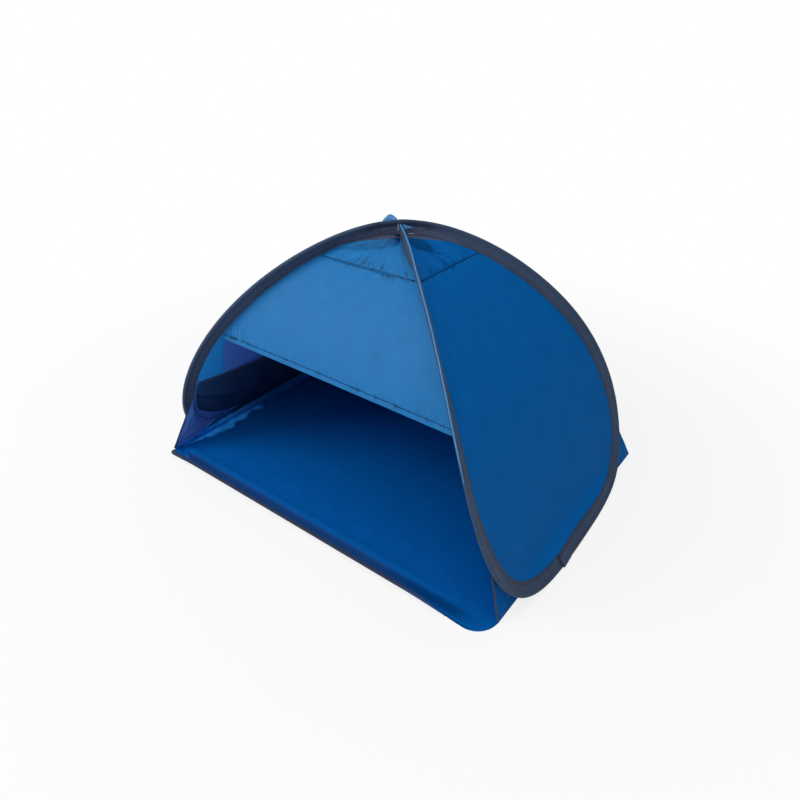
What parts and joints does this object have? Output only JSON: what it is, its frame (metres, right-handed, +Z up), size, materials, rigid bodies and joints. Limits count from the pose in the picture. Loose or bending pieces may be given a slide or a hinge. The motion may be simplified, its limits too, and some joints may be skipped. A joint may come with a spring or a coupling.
{
  "type": "pop-up tent",
  "caption": "Small pop-up sun tent on one spring wire bent into two side loops that cross at the top, with blue cloth panels, a visor over the doorway, a floor and an inner pocket.",
  "frame": {"origin": "on the ground, under the crossing of the wire, at the middle of the floor", "axes": "+X to the right of someone looking in at the doorway, -Y out of the doorway, +Z up"},
  "size_m": [0.7369, 0.5232, 0.4425],
  "materials": {
    "steel": "spring steel wire",
    "sleeve": "matt navy grey sleeve cloth",
    "piping": "light blue cord",
    "webbing": "grey webbing",
    "floor_cloth": "deep blue coated cloth",
    "visor_cloth": "bright blue coated cloth",
    "panel_cloth": "blue coated cloth",
    "pocket_cloth": "dark cloth",
    "binding": "matt navy grey tape"
  },
  "bodies": {
    "left_side": {"wire_left": "steel", "sleeve_left": "sleeve", "side_panel_left": "panel_cloth", "crown_left": "panel_cloth", "web_left": "webbing", "piping_left": "piping", "skirt_left": "panel_cloth", "side_tape_left": "binding", "corner_binding_left": "binding", "inner_pocket": "pocket_cloth", "pocket_binding": "binding", "crossing_wrap": "sleeve", "crossing_tie": "piping", "floor": "floor_cloth", "front_binding": "binding", "back_tape": "binding", "visor": "visor_cloth", "crown_front": "visor_cloth", "web_front": "webbing", "back_panel": "panel_cloth", "crown_back": "panel_cloth", "web_back": "webbing", "web_right": "webbing"},
    "right_side": {"wire_right_front": "steel", "wire_right_back": "steel", "wire_ferrule": "steel", "sleeve_right": "sleeve", "sleeve_cuff": "sleeve", "side_panel_right": "panel_cloth", "crown_right": "panel_cloth", "piping_right": "piping", "skirt_right": "panel_cloth", "side_tape_right": "binding", "corner_binding_right": "binding"}
  },
  "joints": [
    {"name": "side_fold", "type": "hinge", "parent": "left_side", "child": "right_side", "pos_m": [0, 0, 0.4395], "axis": [0, 1, 0], "range_deg": [0, 65], "stiffness_Nm_per_rad": 1.2, "springref_deg": -20.05, "deforming": ["floor", "front_binding", "back_tape", "visor", "crown_front", "web_front", "back_panel", "crown_back", "web_back", "crossing_wrap", "crossing_tie", "web_left", "web_right"]}
  ]
}
